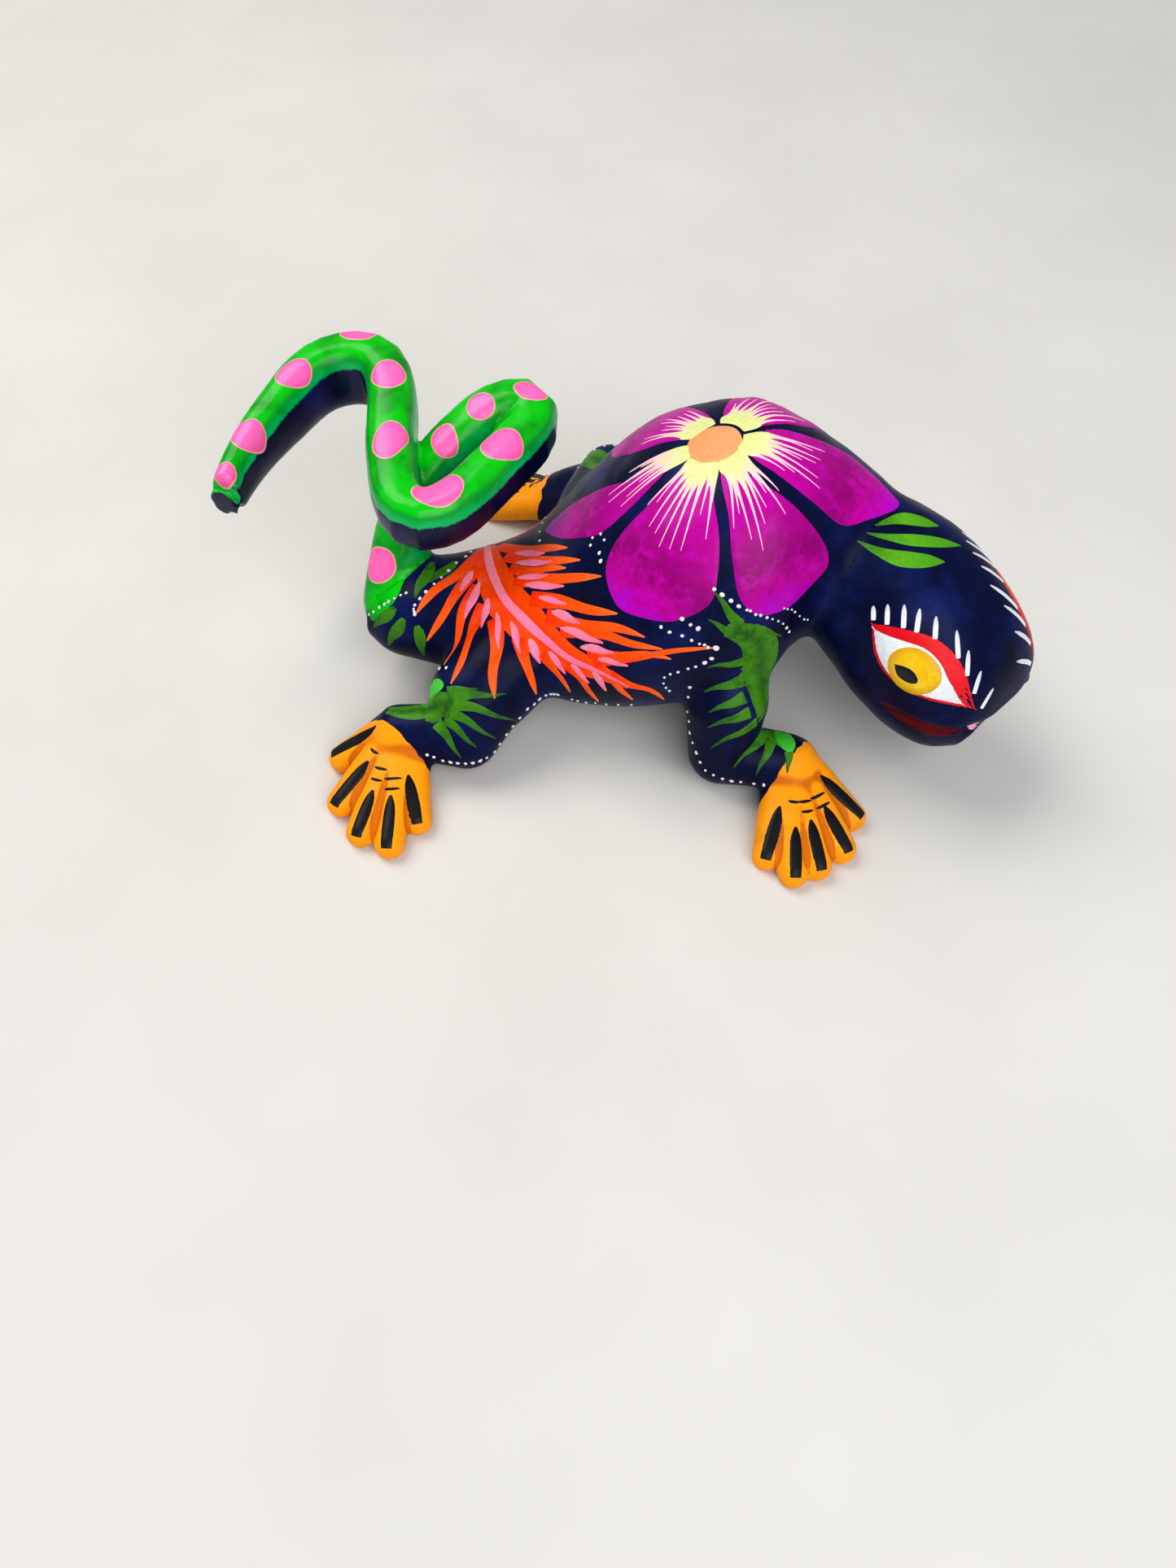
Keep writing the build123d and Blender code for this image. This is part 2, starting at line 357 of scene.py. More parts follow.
fields = {
    "green": tail_field(verts, normals, owner),
    "foot": foot_field(verts, owner),
    "hollow": hollow_field(verts, normals, edges),
    "upward": normals[:, 2],
}
for name in ("green", "foot"):
    fields[name] = neighbour_mean(neighbour_mean(fields[name][:, None], edges), edges)[:, 0]

# ---------------------------------------------------------------- colours
NAVY_DARK = (3, 5, 20)
NAVY = (6, 13, 50)
NAVY_PALE = (14, 28, 88)
GREEN_DEEP = (0, 110, 12)
GREEN_BRIGHT = (0, 186, 10)
EMERALD = (0, 190, 104)
ORANGE = (255, 152, 16)
OCHRE = (214, 146, 24)
CREAM = (246, 212, 140)
# Deep orange painted as shade in the feet's creases.
FOOT_CREASE_SHADE = (186, 84, 6)
PINK = (255, 100, 176)
PINK_DEEP = (255, 88, 166)
PEACH = (255, 158, 150)
PETAL = (192, 0, 150)
PETAL_DARK = (138, 0, 104)
VIOLET = (168, 0, 190)
PALE_GREEN = (216, 226, 138)
PALE_PINK = (255, 202, 206)
FLOWER_HEART = (255, 150, 96)
FLAME_RED = (255, 40, 0)
FLAME = (255, 74, 0)
FLAME_TIP = (255, 116, 40)
FEATHER_PINK = (255, 128, 166)
LEAF = (62, 130, 18)
LEAF_DARK = (18, 62, 20)
LEAF_BRIGHT = (40, 176, 24)
WHITE = (244, 240, 236)
BLACK = (10, 10, 12)
LID_RED = (206, 8, 22)
GOLD = (236, 184, 10)
MOUTH_RED = (70, 0, 4)
WOOD_PALE = (214, 180, 128)
WOOD_DARK = (176, 134, 84)
# Satin acrylic: little sheen of its own under a slightly dull varnish.
SPECULAR = 0.04
COAT_ROUGHNESS = 0.22


def linear(colour):
    """A colour given from 0 to 255 as the shader takes it."""
    out = []
    for value in colour:
        v = value / 255
        out.append(v / 12.92 if v <= 0.04045 else ((v + 0.055) / 1.055) ** 2.4)
    return (*out, 1.0)


class Shader:
    """Builds one material's nodes."""

    def __init__(self, name):
        self.material = bpy.data.materials.new(name)
        self.material.use_nodes = True
        self.nodes = self.material.node_tree.nodes
        self.links = self.material.node_tree.links
        self.paint = self.nodes["Principled BSDF"]
        self.place = self.nodes.new("ShaderNodeTexCoord").outputs["Object"]

    def noise(self, size_mm, detail=3.0, rough=0.55, stretch=None):
        """Noise whose features are about size_mm across; stretch scales its axes."""
        node = self.nodes.new("ShaderNodeTexNoise")
        node.inputs["Scale"].default_value = 1 / (size_mm * MM)
        node.inputs["Detail"].default_value = detail
        node.inputs["Roughness"].default_value = rough
        place = self.place
        if stretch:
            mapping = self.nodes.new("ShaderNodeMapping")
            mapping.inputs["Scale"].default_value = stretch
            self.links.new(place, mapping.inputs["Vector"])
            place = mapping.outputs["Vector"]
        self.links.new(place, node.inputs["Vector"])
        return node.outputs["Fac"]

    def attribute(self, name):
        """A value stored on the mesh."""
        node = self.nodes.new("ShaderNodeAttribute")
        node.attribute_name = name
        return node.outputs["Fac"]

    def ramp(self, value, stops):
        """Colours, or plain values, along a value."""
        node = self.nodes.new("ShaderNodeValToRGB")
        ramp = node.color_ramp
        while len(ramp.elements) < len(stops):
            ramp.elements.new(0.5)
        for element, (place, colour) in zip(ramp.elements, stops):
            element.position = place
            element.color = linear(colour) if isinstance(colour, tuple) else (colour, colour, colour, 1)
        self.links.new(value, node.inputs["Fac"])
        return node.outputs["Color"]

    def mix(self, factor, a, b, blend="MIX"):
        """Two colours mixed by a value; a colour may be given plainly."""
        node = self.nodes.new("ShaderNodeMix")
        node.data_type = "RGBA"
        node.blend_type = blend
        for socket, value in ((node.inputs["Factor"], factor), (node.inputs[6], a), (node.inputs[7], b)):
            if isinstance(value, bpy.types.NodeSocket):
                self.links.new(value, socket)
            elif isinstance(value, tuple):
                socket.default_value = linear(value)
            else:
                socket.default_value = value
        return node.outputs[2]

    def math(self, kind, a, b):
        """Arithmetic on two values."""
        node = self.nodes.new("ShaderNodeMath")
        node.operation = kind
        for socket, value in zip(node.inputs, (a, b)):
            if isinstance(value, bpy.types.NodeSocket):
                self.links.new(value, socket)
            else:
                socket.default_value = value
        return node.outputs[0]

    def finish(self, colour, rough, gloss, bumps):
        """Wires up colour, a roughness between two values, varnish, and bumps of (height, strength, mm)."""
        self.links.new(colour, self.paint.inputs["Base Color"])
        roughness = self.ramp(self.noise(3.0), ((0.3, rough[0]), (0.7, rough[1])))
        self.links.new(roughness, self.paint.inputs["Roughness"])
        self.paint.inputs["Coat Weight"].default_value = gloss
        self.paint.inputs["Coat Roughness"].default_value = COAT_ROUGHNESS
        self.paint.inputs["Specular IOR Level"].default_value = SPECULAR
        normal = None
        for height, strength, depth in bumps:
            bump = self.nodes.new("ShaderNodeBump")
            bump.inputs["Strength"].default_value = strength
            bump.inputs["Distance"].default_value = depth * MM
            self.links.new(height, bump.inputs["Height"])
            if normal:
                self.links.new(normal, bump.inputs["Normal"])
            normal = bump.outputs["Normal"]
        self.links.new(normal, self.paint.inputs["Normal"])
        return self.material


def body_paint(name, rough, gloss):
    """The navy ground, with green where the tail has it, and orange on the feet darkened as painted shade in
    their creases.
    """
    s = Shader(name)
    navy = s.ramp(s.noise(9.0, 6.0, 0.62), ((0.28, NAVY_DARK), (0.52, NAVY), (0.74, NAVY_PALE)))
    scuffs = s.ramp(s.noise(1.1, 4.0, 0.7), ((0.62, 0.0), (0.78, 0.22)))
    navy = s.mix(scuffs, navy, NAVY_PALE)
    side = s.math("ADD", s.attribute("upward"), s.math("MULTIPLY", s.noise(5.0, 4.0), 0.35))
    green = s.ramp(side, ((0.2, EMERALD), (0.62, (0, 150, 40)), (0.86, GREEN_BRIGHT), (1.0, GREEN_BRIGHT)))
    green = s.mix(s.ramp(s.noise(7.5, 3.0), ((0.46, 0.0), (0.66, 0.85))), green, GREEN_DEEP)
    foot = s.ramp(s.noise(3.6, 5.0, 0.6), ((0.3, OCHRE), (0.5, ORANGE), (0.68, ORANGE), (0.86, CREAM)))
    # Painted shade: the foot's orange turns to a deep orange in its creases, between the toes.
    foot = s.mix(s.ramp(s.attribute("hollow"), ((0.0, 0.0), (0.45, 0.8))), foot, FOOT_CREASE_SHADE)
    edge = s.math("MULTIPLY", s.math("SUBTRACT", s.noise(0.7, 2.0), 0.5), 0.3)
    green_here = s.ramp(s.math("ADD", s.attribute("green"), edge), ((0.0, 0.0), (0.16, 1.0)))
    foot_here = s.ramp(s.math("ADD", s.attribute("foot"), edge), ((0.0, 0.0), (0.1, 1.0)))
    colour = s.mix(foot_here, s.mix(green_here, navy, green), foot)
    grain = s.noise(0.5, 3.0, 0.6, (0.25, 1.0, 1.0))
    return s.finish(colour, rough, gloss, ((s.noise(2.2, 4.0, 0.6), 0.35, 0.12), (grain, 0.16, 0.05)))


def motif_paint(name, stops, rough=(0.36, 0.5), gloss=0.1, streak=None, driver="along"):
    """One painted colour, changing along its stroke and mottled as brushed acrylic is."""
    s = Shader(name)
    place = s.attribute(driver)
    drift = s.math("MULTIPLY", s.math("SUBTRACT", s.noise(1.6, 4.0), 0.5), 0.3)
    along = s.math("ADD", place, drift)
    colour = s.ramp(along, stops)
    if streak:
        colour = s.mix(s.ramp(s.noise(2.6, 5.0, 0.65), ((0.5, 0.0), (0.68, 0.75))), colour, streak)
    shade = s.ramp(s.noise(0.8, 3.0), ((0.3, 0.86), (0.6, 1.0)))
    colour = s.mix(1.0, colour, shade, "MULTIPLY")
    brushing, pores = s.noise(2.2, 4.0, 0.6), s.noise(0.4, 2.0)
    return s.finish(colour, rough, gloss, ((brushing, 0.3, 0.1), (pores, 0.2, 0.05)))


def wood_bare(name):
    """The dowels' bare pale wood."""
    s = Shader(name)
    grain = s.noise(0.6, 5.0, 0.6, (1.0, 1.0, 0.08))
    colour = s.ramp(grain, ((0.35, WOOD_DARK), (0.65, WOOD_PALE)))
    return s.finish(colour, (0.55, 0.75), 0.0, ((grain, 0.3, 0.08),))


# ---------------------------------------------------------------- pieces from the skin
def finish_mesh(mesh, values_by_name):
    """Smooths a mesh's shading and stores values on its vertices for the shaders."""
    for polygon in mesh.polygons:
        polygon.use_smooth = True
    for name, values in values_by_name.items():
        layer = mesh.attributes.new(name, "FLOAT", "POINT")
        layer.data.foreach_set("value", values.astype(np.float32))


def piece_from_skin(name, index, material):
    """One carved piece: its share of the skin, closed where it joins its neighbours."""
    mine = owner[faces].min(axis=1) == index
    used, inverse = np.unique(faces[mine], return_inverse=True)
    rows = inverse.reshape(-1, 4)
    build = bmesh.new()
    made = [build.verts.new(v) for v in verts[used]]
    for row in rows:
        build.faces.new([made[i] for i in row])
    rims = [e for e in build.edges if e.is_boundary]
    bmesh.ops.holes_fill(build, edges=rims, sides=0)
    caps = [f for f in build.faces if len(f.verts) > 4]
    bmesh.ops.triangulate(build, faces=caps)
    mesh = bpy.data.meshes.new(name)
    build.to_mesh(mesh)
    build.free()
    finish_mesh(mesh, {field: values[used] for field, values in fields.items()})
    mesh.normals_split_custom_set_from_vertices([tuple(n) for n in normals[used]])
    mesh.materials.append(material)
    piece = add_object("carved_" + name, mesh)
    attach(piece, "root")
    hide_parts(name)
    return piece


# ---------------------------------------------------------------- painting on the skin
skin_verts = [Vector(v) for v in verts]
skin_normals = [Vector(n) for n in normals]
skin_faces = [list(map(int, f)) for f in faces]
face_owner = owner[faces].min(axis=1)
skin = BVHTree.FromPolygons(skin_verts, skin_faces)
TAIL = CARVED.index("tail")
body_faces = [face for face, mine in zip(skin_faces, face_owner) if mine != TAIL]
body_owner = face_owner[face_owner != TAIL]
body = BVHTree.FromPolygons(skin_verts, body_faces)

STEP = 0.55
LAYER = 0.035
SINK = 0.05
DIG = 3.0
TORN = 2.6
painted = {}


def land(start, way, only=None):
    """Where a line meets the body, or only some pieces, and the smooth normal there; in millimetres."""
    tree, rows = (skin, skin_faces) if only == "tail" else (body, body_faces)
    spot, _, face, _ = tree.ray_cast(start * MM, way)
    if spot is None:
        return None
    if only and CARVED[(face_owner if only == "tail" else body_owner)[face]] not in only:
        return None
    normal = Vector()
    for corner in rows[face]:
        normal += skin_normals[corner] / ((skin_verts[corner] - spot).length_squared + 1e-10)
    return spot / MM, normal.normalized()


def press(point, normal, only=None):
    """The point moved onto the skin along a normal, if the skin is close."""
    found = land(point + normal * DIG, -normal, only)
    if found and (found[0] - point).length < DIG * 1.6:
        return found
    return None


def between(four, f):
    """A smooth curve's point between the second and third of four points, at f from 0 to 1."""
    p = [Vector(point) for point in four]
    bend = 2 * p[0] - 5 * p[1] + 4 * p[2] - p[3]
    return p[1] + ((p[2] - p[0]) * f + bend * f * f + (3 * p[1] - p[0] - 3 * p[2] + p[3]) * f ** 3) / 2


def bowl(points, t):
    """A smooth open curve through points, at t from 0 to 1."""
    spans = len(points) - 1
    k = min(int(t * spans), spans - 1)
    return between([points[min(max(k + d, 0), spans)] for d in (-1, 0, 1, 2)], t * spans - k)


def ring(points, t):
    """A smooth closed curve through points, at t from 0 to 1."""
    count = len(points)
    k = int(t * count)
    return between([points[(k + d) % count] for d in (-1, 0, 1, 2)], t * count - k)


def store(paint, found, faces, along, across):
    """Adds a motif's points and faces to its paint, leaving out faces that would bridge a gap."""
    data = painted.setdefault(paint, ([], [], [], []))
    base = len(data[0])
    for spot in found:
        data[0].append(spot if spot is not None else Vector())
    data[2].extend(along)
    data[3].extend(across)
    for face in faces:
        corners = [found[i] for i in face]
        if any(c is None for c in corners):
            continue
        if max((corners[i] - corners[i - 1]).length for i in range(len(face))) < TORN:
            data[1].append([base + i for i in face])


def stroke(paint, chart, points, widths, layer=1, across=3, only=None):
    """A brush stroke along a curve on a chart; widths are its half widths from start to end, in mm."""
    length = sum((Vector(b) - Vector(a)).length for a, b in zip(points, points[1:]))
    scale = chart.scale
    count = max(6, int(length * scale / STEP))
    middles = []
    for i in range(count + 1):
        middles.append(land(*chart(*bowl(points, i / count)), only))
    found, along, sides, rows = [], [], [], []
    span = range(-across, across + 1)
    for i, middle in enumerate(middles):
        before, after = middles[max(i - 1, 0)], middles[min(i + 1, count)]
        if middle is None or before is None or after is None:
            rows.append(None)
            continue
        spot, normal = middle
        side = (after[0] - before[0]).cross(normal).normalized()
        t = i / count
        wide = bowl([(w, 0) for w in widths], t)[0]
        rows.append(len(found))
        for j in span:
            share = j / across
            there = press(spot + side * (max(wide, 0.02) * share), normal, only)
            rim = abs(j) == across or i in (0, count)
            lift = -SINK if rim else LAYER * layer
            found.append(there[0] + there[1] * lift if there else None)
            along.append(t)
            sides.append(abs(share))
    strip = []
    for a, b in zip(rows, rows[1:]):
        if a is not None and b is not None:
            strip += [(a + j, a + j + 1, b + j + 1, b + j) for j in range(2 * across)]
    store(paint, found, strip, along, sides)


def disc_faces(rings, around):
    """The faces of a disc of rings of points round a middle point."""
    faces = [(0, 1 + k, 1 + (k + 1) % around) for k in range(around)]
    for r in range(1, rings):
        base, above = 1 + (r - 1) * around, 1 + r * around
        for k in range(around):
            n = (k + 1) % around
            faces.append((base + k, above + k, above + n, base + n))
    return faces


def patch(paint, chart, outline, layer=1, rings=12, start=None, end=None):
    """A filled shape on a chart; along runs from start to end, across from its middle to its rim."""
    middle = sum((Vector(p) for p in outline), Vector((0, 0))) / len(outline)
    start = Vector(start or outline[0])
    axis = Vector(end) - start if end else (middle - start) * 2
    rim_length = sum((Vector(outline[i]) - Vector(outline[i - 1])).length for i in range(len(outline)))
    around = max(24, int(rim_length * chart.scale / 0.8))
    found, along, out = [], [], []
    for r in range(rings + 1):
        share = r / rings
        for k in range(around if r else 1):
            place = middle + (ring(outline, k / around) - middle) * share
            there = land(*chart(*place))
            lift = -SINK if r == rings else LAYER * layer
            found.append(there[0] + there[1] * lift if there else None)
            along.append((place - start).dot(axis) / axis.length_squared)
            out.append(share)
    store(paint, found, disc_faces(rings, around), along, out)


def blob(paint, where, radii, layer=1, crown=0.0, wobble=0.08, turn=0.0,
         rings=3, around=14, seed=0, only=None):
    """A round spot or dot of paint pressed onto the skin about one place."""
    if where is None:
        return
    dice = random.Random(seed)
    spot, normal = where
    level = Vector((1, 0, 0)) - normal * normal.x
    u = level.normalized()
    v = normal.cross(u)
    waves = [(dice.uniform(0, 2 * pi), dice.uniform(0.3, 1.0) * wobble / n, n) for n in (2, 3, 4)]
    found, along, out = [], [], []
    for r in range(rings + 1):
        share = r / rings
        for k in range(around if r else 1):
            angle = 2 * pi * k / around
            swell = 1 + sum(size * cos(n * angle + phase) for phase, size, n in waves)
            a, b = radii[0] * cos(angle) * swell * share, radii[1] * sin(angle) * swell * share
            a, b = a * cos(turn) - b * sin(turn), a * sin(turn) + b * cos(turn)
            there = press(spot + u * a + v * b, normal, only)
            lift = -SINK if r == rings else LAYER * layer + crown * (1 - share * share)
            found.append(there[0] + there[1] * lift if there else None)
            along.append(share)
            out.append(share)
    store(paint, found, disc_faces(rings, around), along, out)


# Charts: each turns two numbers into a line of sight onto the figure.
# The flank chart looks squarely at the slope between flank and back: mm forward, and mm up the slope.
SLOPE = radians(55.4)


def flank_chart(side):
    def chart(forward, up):
        rise = Vector((0, -side * sin(SLOPE), cos(SLOPE)))
        out = Vector((0, side * cos(SLOPE), sin(SLOPE)))
        return Vector((forward, 0, 0)) + rise * up + out * OUTSIDE, -out
    chart.scale = 1.0
    return chart


right_flank = flank_chart(-1)
left_flank = flank_chart(1)
# How far up its chart each flank's motifs go: the right flank's chart sees past the back's ridge.
RIGHT_TOP = 30.0
LEFT_TOP = 3.0


def left_feather_chart(forward, up):
    """The left flank's feather starts below the back's ridge, so it is squeezed down."""
    return left_flank(forward, LEFT_TOP + (up - 19.5) * 0.5)


left_feather_chart.scale = 1.0

# The flower's chart spreads over the back from a point inside the torso: mm outwards, as x and y.
FLOWER_ROOT = Vector((13.7, 0, 28.0))
FLOWER_REACH = 25.0


def back_chart(x, y):
    flat = Vector((x, y, 0))
    reach = flat.length
    angle = reach / FLOWER_REACH
    way = Vector((0, 0, 1)) * cos(angle) + (flat / max(reach, 1e-6)) * sin(angle)
    return FLOWER_ROOT + way * OUTSIDE, -way


back_chart.scale = 1.0


def polar(turn, reach):
    return Vector((reach * cos(radians(turn)), reach * sin(radians(turn))))


def above_chart(x, y):
    return Vector((x, y, OUTSIDE)), Vector((0, 0, -1))


above_chart.scale = 1.0


def face_chart(side):
    """The head's chart for one side; its second number is degrees, so its scale is smaller."""
    def chart(ahead, turn):
        return head_chart(ahead, turn, side)
    chart.scale = 0.5
    return chart


# ---------------------------------------------------------------- the flower on the back
# Each petal's outline, as degrees round the flower (from the head, leftwards) and mm out from its root.
PETALS = (
    ((-162, 5.5), (-170, 14), (-192, 26), (-198, 36), (-193, 40), (-180, 36), (-167, 30), (-159, 25),
     (-154, 15)),
    ((-134, 5), (-145, 15), (-149, 24), (-144, 29.5), (-130, 32.5), (-116, 32), (-105, 31), (-94, 28),
     (-91, 23), (-92, 15)),
    ((-90, 6), (-87, 15), (-86, 21), (-83, 27), (-75, 30), (-61, 30), (-45, 27.5), (-41, 25), (-42, 21),
     (-51, 13)),
    ((-46, 6), (-43, 12), (-36, 18), (-31, 23), (-22, 25), (-9, 27.5), (0, 25.5), (8, 21), (10, 15), (6, 6)),
    ((14, 5), (18, 12), (24, 20), (32, 27), (48, 29), (64, 27), (74, 20), (79, 12), (80, 5)),
    ((98, 5), (103, 12), (107, 22), (116, 29), (132, 30), (146, 26), (156, 17), (160, 10), (158, 5)),
)
# Where the pale rays fan out on each petal: from and to degrees at the root, then at their tips,
# and their reach.
RAYS = (
    (-160, -152, -188, -162, 24),
    (-134, -104, -148, -96, 23),
    (-88, -62, -86, -48, 21),
    (-46, -8, -38, 2, 20),
    (16, 78, 20, 74, 19),
    (100, 157, 108, 152, 20),
)
RAYS_PER_PETAL = 9
RAY_ROOT = 3.6
RAY_HALF_WIDTHS = (0.7, 1.1, 0.42, 0.05)
HEART = (
    (-5.6, -1.2), (-4.4, -4.4), (-1.0, -5.6), (2.4, -4.4),
    (3.6, -1.2), (2.4, 2.2), (-1.0, 3.4), (-4.4, 2.0),
)


def paint_flower():
    for outline in PETALS:
        points = [polar(*p) for p in outline]
        tip = max(points, key=lambda p: p.length)
        patch("petals", back_chart, points, 2, 14, Vector((0, 0)), tip)
    for n, (root_a, root_b, tip_a, tip_b, reach) in enumerate(RAYS):
        dice = random.Random(40 + n)
        for k in range(RAYS_PER_PETAL):
            share = (k + 0.5) / RAYS_PER_PETAL
            root = polar(root_a + (root_b - root_a) * share, RAY_ROOT)
            far = reach * dice.uniform(0.66, 1.04) * (1 - 0.3 * abs(share - 0.45))
            tip = polar(tip_a + (tip_b - tip_a) * share, far)
            knee = root.lerp(tip, 0.45) + Vector((root.y, -root.x)).normalized() * dice.uniform(-0.4, 0.4)
            line = (root, root.lerp(tip, 0.2), knee, tip)
            stroke("petal_rays", back_chart, line, RAY_HALF_WIDTHS, 3, 2)
    patch("flower_heart", back_chart, HEART, 4, 6)


# ---------------------------------------------------------------- the feather on each flank
# On the flank chart: the spine, then each flame from its root to its tip with its half width.
SPINE = (
    (-24.3, 19.5), (-23, 14), (-20.5, 8.5), (-17, 4.5),
    (-13.5, 1), (-9.5, -2.5), (-4.5, -5), (0.5, -7.5),
)
BODY_HALF_WIDTHS = (1.6, 3.0, 3.8, 3.9, 3.4, 2.8, 2.0, 0.7)
FLAMES = (
    ((-24.5, 18.5), (-35.8, 6), 1.3),
    ((-25, 14.5), (-34.2, 1.5), 1.1),
    ((-25, 11), (-30.8, -3), 1.0),
    ((-23.8, 7.5), (-29.2, -6.5), 1.2),
    ((-22, 5), (-21.8, -9), 1.3),
    ((-18, 1.5), (-15, -8), 1.1),
    ((-14, -1), (-9.2, -7.8), 1.0),
    ((-10, -3.4), (-4.4, -9.4), 1.0),
    ((-5.6, -4.2), (1.2, -9.3), 1.0),
    ((-3, -5.4), (6.4, -9.2), 1.0),
    ((-22.5, 19), (-9.6, 15.8), 1.3),
    ((-21, 16.4), (-7.4, 13), 1.2),
    ((-20, 14), (-9.8, 12.2), 1.0),
    ((-19, 11.8), (-4.1, 9.6), 1.3),
    ((-16.2, 8), (-1.6, 3.4), 1.3),
    ((-13.4, 4.8), (2.6, -0.4), 1.2),
    ((-11, 2), (5.4, -2.2), 1.1),
    ((-6.6, -1.8), (6.8, -3.6), 1.0),
    ((-5.6, -3.6), (13.3, -2), 0.8),
)
# Pink strokes laid between the flames: root, tip.
PINK_STROKES = (
    ((-26.2, 14), (-28.2, 9.6)),
    ((-24.8, 11.8), (-27.4, 4.9)),
    ((-23.3, 8.8), (-24.3, 3.2)),
    ((-21.8, 6.2), (-21, -1)),
    ((-19.3, 4.5), (-17.5, -1.6)),
    ((-16.2, 1.4), (-14.2, -3.1)),
    ((-13, -1), (-9.9, -5)),
    ((-9.3, -3.3), (-6, -6.7)),
    ((-5.8, -4.5), (-3.2, -8)),
    ((-19.2, 17), (-13.5, 16)),
    ((-19, 15), (-12, 14)),
    ((-18.6, 12), (-12.6, 11.7)),
    ((-17.2, 10.7), (-10.1, 9.2)),
    ((-14.8, 8.2), (-9.4, 6)),
    ((-12.5, 5.4), (-7.3, 2.6)),
    ((-11, 2.5), (-3.8, -0.8)),
    ((-7.7, -1), (-2, -2.4)),
    ((-5, -3), (0.2, -4.4)),
)


def bent(root, tip, sway):
    """A root and a tip joined by a slight double bend."""
    root, tip = Vector(root), Vector(tip)
    side = Vector((root.y - tip.y, tip.x - root.x))
    return (root, root.lerp(tip, 0.35) + side * sway, root.lerp(tip, 0.7) - side * sway * 0.5, tip)


def paint_feather(chart, only=None):
    stroke("feather_body", chart, SPINE, BODY_HALF_WIDTHS, 1, 6, only)
    for n, (root, tip, wide) in enumerate(FLAMES):
        dice = random.Random(70 + n)
        widths = (wide * 1.3, wide * 1.15, wide * 0.8, wide * 0.62, 0.12)
        stroke("flames", chart, bent(root, tip, dice.uniform(-0.05, 0.05)), widths, 2, 3, only)
    for n, (root, tip) in enumerate(PINK_STROKES):
        dice = random.Random(110 + n)
        wide = dice.uniform(0.62, 0.82)
        widths = (0.1, wide, wide * 1.1, wide * 0.6, 0.15)
        stroke("feather_pinks", chart, bent(root, tip, 0.02), widths, 3, 3, only)
    stroke("feather_pinks", chart, SPINE, (0.7, 0.9, 0.85, 0.95, 0.85, 0.7, 0.5, 0.15), 4, 3, only)


# ---------------------------------------------------------------- green bursts and leaves
# A burst is a few fat trunk strokes with rays; each ray is root, tip, half width on the flank chart.
FRONT_TRUNK = ((14.5, 0.5), (20, -1.2), (21.6, -6), (22.8, -11), (25, -14.5), (27.6, -17))
FRONT_TRUNK_WIDTHS = (1.2, 3.4, 3.8, 3.0, 2.2, 1.0)
FRONT_RAYS = (
    ((17, 1), (12.4, 6), 0.8),
    ((16.2, -0.2), (11.8, 2), 0.7),
    ((19, 0.5), (24, 0), 0.7),
    ((18.4, -3.8), (12.2, -4.8), 0.9),
    ((18.6, -6.4), (12.2, -8.3), 0.9),
    ((19, -9), (13, -11.6), 0.9),
    ((20, -11.4), (13, -14), 0.9),
    ((21.4, -12.8), (13.9, -17.2), 0.9),
    ((23, -14), (18, -20.5), 0.9),
    ((24.4, -15.6), (21.8, -21.8), 0.8),
    ((27.2, -17.4), (27, -21.4), 0.7),
)
REAR_TRUNK = ((-41, -10.4), (-36.5, -10.6), (-32, -9.8), (-28.4, -9.4))
REAR_TRUNK_WIDTHS = (0.8, 2.2, 2.8, 1.6)
REAR_RAYS = (
    ((-30, -7.8), (-24.4, -7.2), 0.8),
    ((-29, -8.8), (-19.8, -8), 0.9),
    ((-29, -9.8), (-18.3, -12.3), 0.9),
    ((-29.6, -11), (-21.8, -15.4), 0.9),
    ((-30.6, -12), (-25, -17), 0.9),
    ((-32, -12.6), (-27.7, -18.8), 0.9),
)
# Brighter green patches painted on each leg burst as highlights, on the flank chart.
REAR_GLINT = ((-36, -9), (-34.8, -6), (-31.6, -5), (-30.2, -6.6), (-32.6, -8.6), (-34.2, -10.2))
FRONT_GLINT = ((25, -13.6), (27.4, -14), (28.6, -16.2), (27.6, -18), (25.4, -16.4))
# Leaves beside the tail's root, and on top of the head, as root, tip, half width.
RUMP_LEAVES = (
    ((-33.2, 15.8), (-36, 8.6), 1.2),
    ((-29, 16), (-33.7, 11.4), 1.1),
    ((-39.2, 7.4), (-44, 4.2), 1.2),
    ((-37.8, 5.6), (-41.4, 1), 1.2),
    ((-35.8, 4.4), (-35, -0.8), 1.2),
)
HEAD_LEAVES = (
    ((-17, 18), (-14.8, -4), (-10.6, -20), 1.6),
    ((-17, 26), (-11.6, 7), (-6, -20), 1.35),
    ((-17, 34), (-10.6, 22), (-5.6, 1), 1.6),
)


# Green on the far rear thigh, seen from above.
FAR_THIGH = ((0, 14), (-2.5, 20), (-6, 27), (-9, 32))
FAR_THIGH_WIDTHS = (1.0, 3.0, 3.0, 0.8)


def paint_greens(chart, top):
    stroke("leaf_paint", chart, FRONT_TRUNK, FRONT_TRUNK_WIDTHS, 1, 4)
    stroke("leaf_paint", chart, REAR_TRUNK, REAR_TRUNK_WIDTHS, 1, 4)
    for root, tip, wide in FRONT_RAYS + REAR_RAYS:
        stroke("leaf_rays", chart, bent(root, tip, 0.03), (wide * 1.5, wide, wide * 0.5, 0.08), 2)
    for root, tip, wide in RUMP_LEAVES:
        if root[1] > top:
            continue
        stroke("leaf_rays", chart, bent(root, tip, 0.04), (0.3, wide, wide * 1.1, wide * 0.6, 0.1), 1)
    # Painted highlights: a brighter green patch on each leg burst.
    patch("leaf_bright", chart, REAR_GLINT, 3, 5)
    patch("leaf_bright", chart, FRONT_GLINT, 3, 5)


